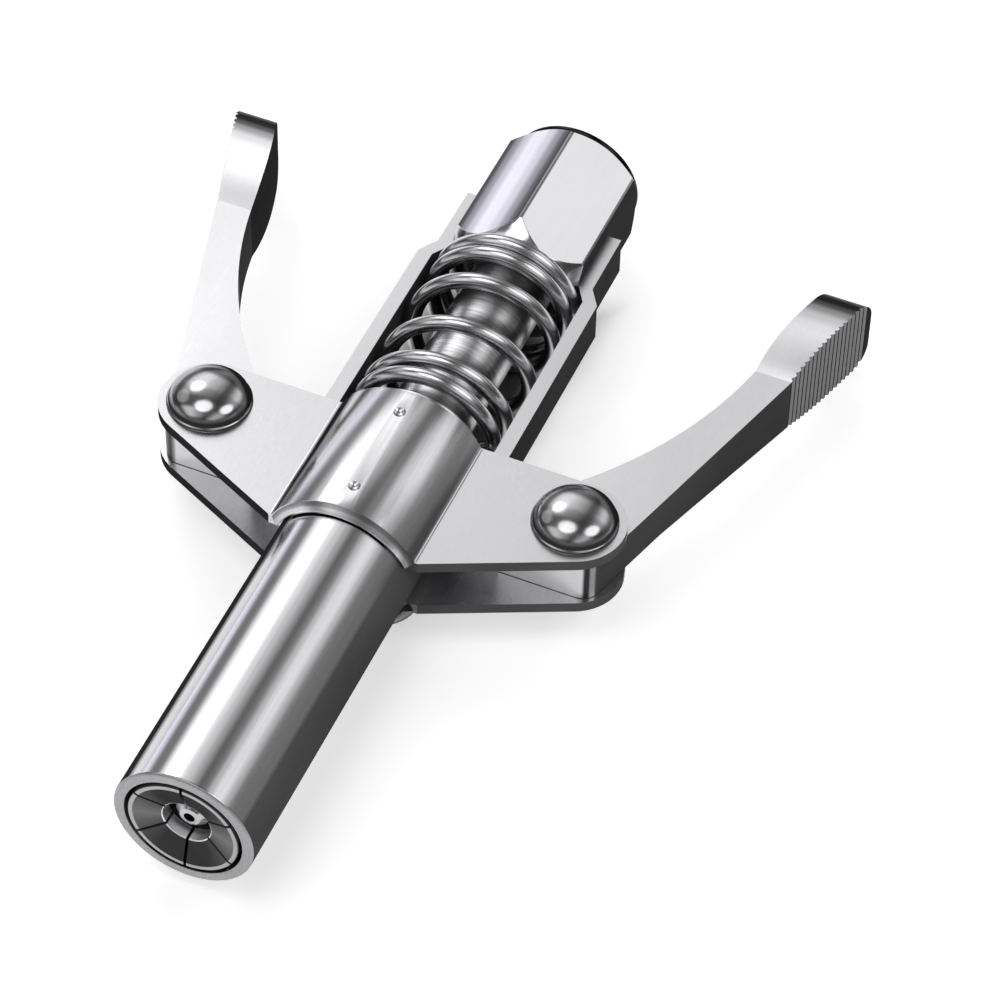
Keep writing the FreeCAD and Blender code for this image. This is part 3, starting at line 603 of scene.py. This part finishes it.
def make_rim():
    """Dark turned rim round the rear mouth, just inside the wrench flats."""
    inner = THREAD_RADIUS + 0.5
    line = rounded([
        (inner, -RIM_DEPTH, 0),
        (REAR_RIM, -RIM_DEPTH, 0),
        (REAR_RIM, RIM_PROUD, 0.2),
        (inner, RIM_PROUD, 0.1),
    ])
    piece = lathe("rear_rim", line[::-1], 128)
    finish_piece(piece, RIM_DARK, "core")
    paint(piece, FACE, lambda place, normal: normal.y > 0.9)


def spring_line():
    """Centre line of the main spring, closed at both ends and open in the middle."""
    half = SPRING_OPEN_HALF_WIDTH
    closed = SPRING_WIRE * SPRING_CLOSED_PITCH
    extra = (SHOULDER - SLEEVE_END - SPRING_WIRE - closed * SPRING_TURNS) / half
    line = []
    steps = int(SPRING_TURNS * 72)
    for step in range(steps + 1):
        turn = SPRING_TURNS * step / steps
        offset = min(max(turn - SPRING_OPEN_CENTRE, -half), half)
        swing = math.sin(math.pi * offset / half) * half / math.pi
        place = SLEEVE_END + SPRING_WIRE / 2 + closed * turn + extra * (offset + half + swing) / 2
        angle = math.radians(SPRING_START + 360 * turn)
        line.append(Vector((SPRING_MEAN * math.sin(angle), place, SPRING_MEAN * math.cos(angle))))
    return line


def make_spring():
    piece = sweep("spring_coil", spring_line(), SPRING_WIRE)
    finish_piece(piece, SPRING, "core")
    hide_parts("main_spring")
    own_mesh(piece)


def make_inner_spring(node):
    """One of the two springs inside the core, copied as it stands; the real one shortens as the
    part that it pushes moves.
    """
    piece = bpy.data.objects.new(f"{node}_coil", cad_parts[node].data.copy())
    bpy.context.scene.collection.objects.link(piece)
    finish_piece(piece, SPRING, "core")
    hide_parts(node)
    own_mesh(piece)


def make_rivet(label, side):
    """Pin with a bulging polished head at each end, set on a thin collar."""
    collar = PLATE_OUTER + RIVET_COLLAR_HEIGHT
    top = []
    steps = 20
    for step in range(steps + 1):
        angle = math.pi / 2 * step / steps
        top.append((RIVET_DOME * math.sin(angle), collar + RIVET_DOME_HEIGHT * math.cos(angle)))
    top += [
        (RIVET_DOME, collar - 0.08),
        (RIVET_COLLAR - 0.1, collar - 0.12),
        (RIVET_COLLAR, collar - 0.3),
        (RIVET_COLLAR, PLATE_OUTER),
        (RIVET_RADIUS, PLATE_OUTER),
    ]
    line = top + [(radius, -place) for radius, place in reversed(top)]
    piece = lathe(f"rivet_{label}_head", line[::-1], 96, (side * PIVOT.x, PIVOT.y), "Z", False)
    finish_piece(piece, RIVET, "sleeve")
    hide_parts(f"rivet_{label}")


def make_creases(label, side):
    """Small concave fillets where a bracket's saddle turns into its wings."""
    height = PLATE_OUTER + CREASE_RADIUS
    centre = math.sqrt((SADDLE_RADIUS + CREASE_RADIUS) ** 2 - height ** 2)
    start = math.pi + math.atan2(height, centre)
    steps = 10
    arc = []
    for step in range(steps + 1):
        angle = start + (1.5 * math.pi - start) * step / steps
        arc.append((centre + CREASE_RADIUS * math.cos(angle),
                    height + CREASE_RADIUS * math.sin(angle)))
    arc.append((centre - CREASE_RADIUS, PLATE_OUTER - 0.2))
    front, rear = (end_of(f"bracket_{label}", corner, 1) for corner in (0, 1))
    points = []
    faces = []
    for way in (1, -1):
        faces += tube_faces(len(points), 2, len(arc))
        for place in (front + 0.15, rear - 0.15):
            points += [(way * across, place, side * up) for across, up in arc]
    piece = new_piece(f"bracket_{label}_creases", points, faces, 50)
    finish_piece(piece, CREASE, "sleeve")


def make_lip(label, side, material):
    """A bracket's chamfered front lip over the tube, with a thin gap under it, that ends at the
    wing roots."""
    front = end_of(f"bracket_{label}", 0, 1)
    inner = SLEEVE_RADIUS + 0.25
    reach = 0.75
    profile = rounded([
        (SADDLE_RADIUS - 0.06, front + 0.35, 0),
        (SADDLE_RADIUS + 0.01, front + 0.12, 0.1),
        (inner + 0.25, front - reach, 0.1),
        (inner, front - reach, 0.05),
        (inner, front + 0.35, 0),
    ])
    start = math.asin((PLATE_OUTER - 0.2) / SADDLE_RADIUS)
    points = []
    steps = 96
    for step in range(steps + 1):
        angle = start + (math.pi - 2 * start) * step / steps
        points += [(radius * math.cos(angle), place, side * radius * math.sin(angle))
                   for radius, place in profile]
    faces = tube_faces(0, steps + 1, len(profile))
    piece = new_piece(f"bracket_{label}_lip", points, faces, 50)
    finish_piece(piece, material, "sleeve")
    # The lip's face over the gap is painted shade
    paint(piece, BORE_PAINTED_SHADE, lambda place, normal: radius_of(place) < inner + 0.01)


# Pieces

make_nose()
for number in range(1, 7):
    make_jaw(number)
make_nozzle_tip()
make_thread()
make_spring()
make_inner_spring("nozzle_spring")
make_inner_spring("check_spring")
make_rivet("right", 1)
make_rivet("left", -1)
make_creases("upper", 1)
make_creases("lower", -1)
make_lip("upper", 1, LEDGE_PAINTED_HIGHLIGHT)
make_lip("lower", -1, SADDLE_PAINTED_SHADE_LOWER)
make_rim()

for name, saddle in (("bracket_upper", SADDLE), ("bracket_lower", SADDLE_PAINTED_SHADE_LOWER)):
    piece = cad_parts[name]
    soften(name, PLATE, 0.18)
    paint(piece, saddle, lambda place, normal: abs(place.x) < WING_ROOT - 0.1
          and (abs(place.z) > PLATE_OUTER or normal.y < -0.9))
    paint(piece, INNER_PAINTED_LIGHT,
          lambda place, normal: abs(place.z) < PLATE_INNER + 0.15 and abs(normal.z) > 0.9)

for name in ("lever_right", "lever_left"):
    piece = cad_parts[name]
    give_material(piece, LEVER)
    paint(piece, LEVER_FRONT,
          lambda place, normal: place.y < PIVOT.y + 1 and abs(normal.z) < 0.5)
    paint(piece, PAD, lambda place, normal: place.y > PAD_START)
    paint(piece, SERRATED,
          lambda place, normal: place.y > PAD_START and abs(normal.z) < 0.2 and normal.y < 0.9)

soften("strap_right", STRAP, 0.18)
soften("strap_left", STRAP, 0.18)

# The rear body's corners are turned down to a dark cone towards its mouth
soften("rear_body", REAR, 0.12)
paint(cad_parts["rear_body"], RIM_DARK, lambda place, normal: place.y > -2.0
      and normal.y < 0.9 and radius_of(place) > REAR_FACE_RADIUS - 0.1
      and (normal.y > 0.3 or abs(radius_of(place) - REAR_FACE_RADIUS) < 0.08))
paint(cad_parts["rear_body"], REAR_CONE,
      lambda place, normal: place.y < SHOULDER + SHOULDER_CONE + 0.1 and normal.y < -0.2)

soften("core_tube", CORE, 0.1)
for name, material in (
        ("nozzle_stem", NOZZLE), ("check_ball", NOZZLE),
        ("jaw_ring", RUBBER), ("piston_seal", RUBBER), ("core_gasket", RUBBER),
        ("spring_stop", CORE), ("valve_seat", CORE)):
    give_material(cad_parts[name], material)


# Light and shade painted into the surfaces' colour, as (place, brightness) stops

# The rear body's left flats have painted shade at their long edges and a painted highlight between
# them, and a narrow painted line of dark, light and dark where two flats meet
paint_light_and_shade_along(REAR, "X", -8.5 * MM, 8.5 * MM, [
    (0.000, 0.03), (0.030, 0.06), (0.080, 0.40), (0.140, 0.88), (0.200, 1.30),
    (0.260, 1.30), (0.330, 1.00), (0.400, 0.45), (0.450, 0.14), (0.479, 0.04),
    (0.490, 0.40), (0.504, 0.10), (0.516, 1.0), (1.000, 1.0),
])
# Painted shade: the levers' rounded ends are darkened
paint_light_and_shade_along(PAD, "Y", (PIVOT.y + 40) * MM, (PIVOT.y + LEVER_REACH) * MM, [
    (0.00, 1.0), (0.15, 0.95), (0.35, 0.72), (0.50, 0.35), (0.60, 0.10), (0.68, 0.02), (1.00, 0.02),
])
# Painted highlight and shade on the saddle's lip: brightest at its lower edge, and darker where it
# meets the wings
paint_light_and_shade_along(LEDGE_PAINTED_HIGHLIGHT, None, 8.8 * MM, SADDLE_RADIUS * MM, [
    (0.00, 1.0), (0.45, 1.0), (0.70, 0.45), (1.00, 0.30),
], "Radius")
paint_light_and_shade_along(LEDGE_PAINTED_HIGHLIGHT, "X", -9.2 * MM, 9.2 * MM, [
    (0.00, 0.40), (0.12, 0.60), (0.25, 1.0), (0.86, 1.0), (0.94, 0.25), (1.00, 0.10),
])
# Painted shade: the spring is darkened on its side towards the core
paint_light_and_shade_along(SPRING, None, -8.0 * MM, 2.0 * MM, [
    (0.00, 0.06), (0.35, 0.10), (0.70, 0.60), (1.00, 1.0),
], "Outward")
# Painted shade on the levers' front corners, with one narrow painted highlight
CORNER_PAINTED_LIGHT = [
    (0.625, 1.0), (0.720, 0.04), (0.800, 0.04), (0.850, 0.40), (0.910, 0.40), (0.950, 0.05),
]
paint_light_and_shade_along(LEVER, "X", -1, 1, [(0.0, 1.0)] + CORNER_PAINTED_LIGHT, "Normal")
paint_light_and_shade_along(LEVER_FRONT, "X", -1, 1, [
    (0.050, 0.05), (0.090, 0.20), (0.150, 0.20), (0.200, 0.03), (0.330, 0.04),
    (0.420, 0.30), (0.480, 1.0),
] + CORNER_PAINTED_LIGHT, "Normal")


# Floor, light and camera

LIGHT_LEVEL = 2.0
FLOOR_GLOW = 0.5
ROOM = 0.025
COOL = (0.96, 0.93, 1.06)
# The room's light strips by their angle, from the right horizon to the left one
STRIPS = [
    (0.000, 0.07), (0.080, 0.07), (0.135, 0.12), (0.190, 0.36), (0.245, 0.62),
    (0.295, 0.62), (0.345, 0.38), (0.395, 0.10), (0.450, 0.05), (0.500, 0.24),
    (0.550, 0.42), (0.605, 0.58), (0.660, 0.86), (0.715, 0.92), (0.775, 0.74),
    (0.835, 0.10), (0.905, 0.10), (0.950, grey(0.60, COOL)), (0.985, grey(0.80, COOL)),
    (1.000, 0.10),
]
# The same strips' brightness from the front to the back
ROWS = [
    (0.05, 0.10), (0.14, 0.65), (0.30, 0.65), (0.38, 0.06), (0.56, 0.06), (0.64, 0.40),
    (0.70, 0.50), (0.76, 1.0), (0.88, 1.0), (0.94, 0.15), (1.00, 0.25),
]


def make_floor():
    low = cad_low.z - 0.05 * MM
    half = 3.0
    corners = [(-half, -half, low), (half, -half, low), (half, half, low), (-half, half, low)]
    mesh = bpy.data.meshes.new("floor")
    mesh.from_pydata(corners, [], [(0, 1, 2, 3)])
    floor = bpy.data.objects.new("floor", mesh)
    bpy.context.scene.collection.objects.link(floor)
    material, tree, shader = new_material("pale_floor")
    shader.inputs["Roughness"].default_value = 0.9
    shader.inputs["Specular IOR Level"].default_value = 0.0
    rays = tree.nodes.new("ShaderNodeLightPath").outputs
    seen = compute(tree, "MAXIMUM", rays["Is Camera Ray"], rays["Is Glossy Ray"])
    seen = compute(tree, "MAXIMUM", seen, rays["Is Transmission Ray"])
    # Painted shadow: under the spring, between the two straps, the floor's colour and glow are
    # darkened
    far = 0.0
    for axis, middle, reach in (("X", -2.5, 15), ("Y", (SLEEVE_END + SHOULDER) / 2 + 5, 24)):
        offset = compute(tree, "SUBTRACT", measure(tree, "Object", axis), middle * MM)
        share = compute(tree, "DIVIDE", compute(tree, "ABSOLUTE", offset), reach * MM)
        far = compute(tree, "MAXIMUM", far, share)
    shade = rescale(tree, far, 0.4, 1.0, kind="SMOOTHSTEP")
    colour = colour_ramp(tree, shade, [(0, 0.1), (1, 0.86)], "LINEAR")
    feed(tree, colour, shader.inputs["Base Color"])
    glow = compute(tree, "MULTIPLY", seen, compute(tree, "MULTIPLY", shade, FLOOR_GLOW))
    shader.inputs["Emission Color"].default_value = (1, 1, 1, 1)
    feed(tree, glow, shader.inputs["Emission Strength"])
    mesh.materials.append(material)


def add_light(name, direction, distance, size, level):
    """A soft round light of a given level of brightness that faces the coupler."""
    data = bpy.data.lights.new(name, "AREA")
    data.shape = "DISK"
    data.size = size
    data.energy = level * (math.pi * size / 2) ** 2
    light = bpy.data.objects.new(name, data)
    direction = Vector(direction).normalized()
    light.location = AIM + direction * distance
    light.rotation_mode = "QUATERNION"
    light.rotation_quaternion = direction.to_track_quat("Z", "Y")
    bpy.context.scene.collection.objects.link(light)


def make_world():
    """A dim room with long soft light strips overhead, told apart by their angle from the right."""
    world = bpy.data.worlds.new("studio")
    world.use_nodes = True
    bpy.context.scene.world = world
    tree = world.node_tree
    place = tree.nodes.new("ShaderNodeTexCoord")
    split = tree.nodes.new("ShaderNodeSeparateXYZ")
    tree.links.new(place.outputs["Generated"], split.inputs["Vector"])
    angle = compute(tree, "ARCTAN2", split.outputs["Z"], split.outputs["X"])
    strips = colour_ramp(tree, compute(tree, "DIVIDE", angle, math.pi), STRIPS)
    rows = colour_ramp(tree, rescale(tree, split.outputs["Y"], -1, 1), ROWS)
    lit = mix_colours(tree, "MULTIPLY", 1.0, strips, rows)
    background = tree.nodes["Background"]
    total = mix_colours(tree, "ADD", 1.0, (*grey(ROOM), 1), lit)
    feed(tree, total, background.inputs["Color"])
    background.inputs["Strength"].default_value = LIGHT_LEVEL


def make_camera():
    turn, lift, roll = (math.radians(angle) for angle in (AZIMUTH, ELEVATION, ROLL))
    back = Vector((math.sin(turn) * math.cos(lift), -math.cos(turn) * math.cos(lift),
                   math.sin(lift)))
    level = Vector((math.cos(turn), math.sin(turn), 0))
    upright = back.cross(level)
    right = level * math.cos(roll) + upright * math.sin(roll)
    up = upright * math.cos(roll) - level * math.sin(roll)
    camera = bpy.data.objects.new("camera", bpy.data.cameras.new("camera"))
    camera.data.lens = LENS
    camera.data.sensor_width = 36
    camera.data.clip_start = 0.01
    facing = Matrix((right, up, back)).transposed().to_4x4()
    camera.matrix_world = Matrix.Translation(AIM + back * DISTANCE) @ facing
    bpy.context.scene.collection.objects.link(camera)
    bpy.context.scene.camera = camera


make_floor()
make_world()
add_light("left_light", (-0.8, 0.05, 0.6), 0.8, 0.4, 0.5)
add_light("top_light", (-0.52, 0.42, 0.74), 0.9, 0.3, 2.4)
add_light("front_light", (-0.15, -0.21, 0.96), 0.9, 0.5, 2.3)
add_light("right_light", (0.63, -0.03, 0.78), 0.9, 0.5, 2.3)
make_camera()
bpy.context.scene.view_settings.view_transform = "Standard"
